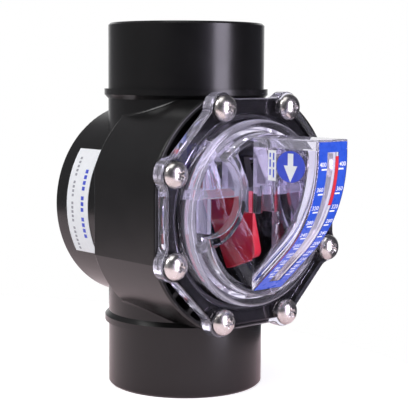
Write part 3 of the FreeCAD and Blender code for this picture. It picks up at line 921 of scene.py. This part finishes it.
def towards(side, low, high):
    """Factor that grows from 0 to 1 as a direction nears a side, between two cosines of the angle."""
    tree = surround.node_tree
    along = tree.nodes.new("ShaderNodeVectorMath")
    along.operation = "DOT_PRODUCT"
    feed(surround, along.inputs[0], tree.nodes.new("ShaderNodeTexCoord").outputs["Generated"])
    feed(surround, along.inputs[1], Vector(side).normalized())
    span = tree.nodes.new("ShaderNodeMapRange")
    span.interpolation_type = "SMOOTHSTEP"
    span.inputs["From Min"].default_value = low
    span.inputs["From Max"].default_value = high
    feed(surround, span.inputs["Value"], along.outputs["Value"])
    return span.outputs["Result"]


room = backdrop((0.95, 0.96, 1.0), 0.36)
white = backdrop((1, 1, 1), 1.0)
dim_front = backdrop((0.82, 0.82, 1.0), 0.09)
pale_side = backdrop((0.97, 0.95, 1.0), 0.26)
lamp_spill = backdrop((0.78, 0.72, 1.0), 0.5)
dim_lid = backdrop((0.92, 0.9, 1.0), 0.15)
dark_card = backdrop((0.9, 0.88, 1.0), 0.02)
to_left = towards((-0.55, 0.8, 0.1), -0.2, 0.6)
behind_right = towards((0.62, 0.74, 0.2), 0.8, 0.97)
behind_lid = towards((0, 1, 0.2), -0.6, 0.1)
beside_lamp = towards((0.2, -0.97, 0.05), 0.8, 0.98)
card_place = towards((0.65, -0.76, -0.1), 0.86, 0.97)
print("backdrops:", sum(node.type == "BACKGROUND" for node in surround.node_tree.nodes))

# %% [markdown]
# ## Surround
#
# The camera sees the surround as plain white, and the room lights the valve evenly. Reflections see a
# studio as it is: white behind to the right, pale to the left, and dim in front, where the rest of the
# room is, with some spill beside the strip lamp. Rays through the clear lid see white to the sides and
# behind, and a dim front. A dark card stands in front to the right, where photographers put one to give
# clear things dark flats and crisp edges. One even white would be simpler, but black plastic would then
# shine grey all over.

# %% What each kind of ray sees
def choose(factor, first, second):
    """Shader that goes from the first to the second by a factor."""
    mix = surround.node_tree.nodes.new("ShaderNodeMixShader")
    feed(surround, mix.inputs["Fac"], factor)
    feed(surround, mix.inputs[1], first.outputs[0])
    feed(surround, mix.inputs[2], second.outputs[0])
    return mix


mirrored = dim_front
for place, look in ((to_left, pale_side), (beside_lamp, lamp_spill), (behind_right, white)):
    mirrored = choose(place, mirrored, look)
mirrored = choose(card_place, mirrored, dark_card)
lidded = choose(card_place, choose(behind_lid, dim_lid, white), dark_card)
lit = choose(seen_by(surround, "Is Glossy Ray"), room, mirrored)
lit = choose(seen_by(surround, "Is Transmission Ray"), lit, lidded)
lit = choose(seen_by(surround, "Is Camera Ray"), lit, white)
world_out = surround.node_tree.nodes.new("ShaderNodeOutputWorld")
feed(surround, world_out.inputs["Surface"], lit.outputs[0])
print("surround:", len(surround.node_tree.nodes), "nodes")

# %% [markdown]
# ## Lamps
#
# Three soft boxes light the valve: an upright strip in front, which draws the long highlights on the
# clear lid, a weak one overhead, and a fill from the left and behind. Small hard lamps would be
# brighter, but they draw hard shadows and dots on polished screws. Each lamp is given by where it
# stands round the valve and by its radiance, so its size can change without a change of its brightness
# in a mirror.

# %% Lamps
valve_middle = Vector((0, 0, 0.5 * (cad_box[0][2] + cad_box[1][2])))


def softbox(name, azimuth, elevation, distance, width, height, radiance, colour=(1, 1, 1)):
    """Rectangular lamp that looks at the valve's middle; azimuth 0 is in front, positive to the right."""
    around = math.radians(azimuth)
    up = math.radians(elevation)
    way = Vector((math.sin(around) * math.cos(up), -math.cos(around) * math.cos(up), math.sin(up)))
    data = bpy.data.lights.new(name, "AREA")
    data.shape = "RECTANGLE"
    data.size = width
    data.size_y = height
    data.energy = radiance * math.pi * width * height
    data.color = colour
    lamp = bpy.data.objects.new(name, data)
    lamp.location = valve_middle + way * distance
    lamp.rotation_euler = way.to_track_quat("Z", "Y").to_euler()
    bpy.context.scene.collection.objects.link(lamp)


softbox(
    "strip_right", azimuth=12, elevation=6, distance=1.0, width=0.42, height=1.0, radiance=8.0,
    colour=(0.9, 0.84, 1.0),
)
softbox("overhead", azimuth=-60, elevation=70, distance=1.1, width=0.7, height=0.7, radiance=2.2)
softbox("fill_left", azimuth=-110, elevation=40, distance=1.3, width=0.6, height=0.6, radiance=6.4)

# %% [markdown]
# ## Camera
#
# The camera stands where the edges of the ports, the lid and the screws line up with the photograph. It
# could be moved by eye, but a fit of many edges is closer. Its place and angles come from that fit, in
# metres and degrees in the valve's frame.

# %% Camera
camera_place = Vector((-0.3166, -0.3739, 0.1255))
heading, pitch, roll = -41.135, 6.085, 0.334
focal_pixels = 1200.73
image_pixels = 408

camera_data = bpy.data.cameras.new("camera")
camera_data.sensor_width = 36
camera_data.lens = camera_data.sensor_width * focal_pixels / image_pixels
camera = bpy.data.objects.new("camera", camera_data)
camera.matrix_world = (
    Matrix.Translation(camera_place)
    @ Matrix.Rotation(math.radians(heading), 4, "Z")
    @ Matrix.Rotation(math.radians(90 - pitch), 4, "X")
    @ Matrix.Rotation(math.radians(roll), 4, "Z")
)
bpy.context.scene.collection.objects.link(camera)
bpy.context.scene.camera = camera
bpy.context.scene.view_settings.view_transform = "Standard"
print("lens %.2f mm" % camera_data.lens)
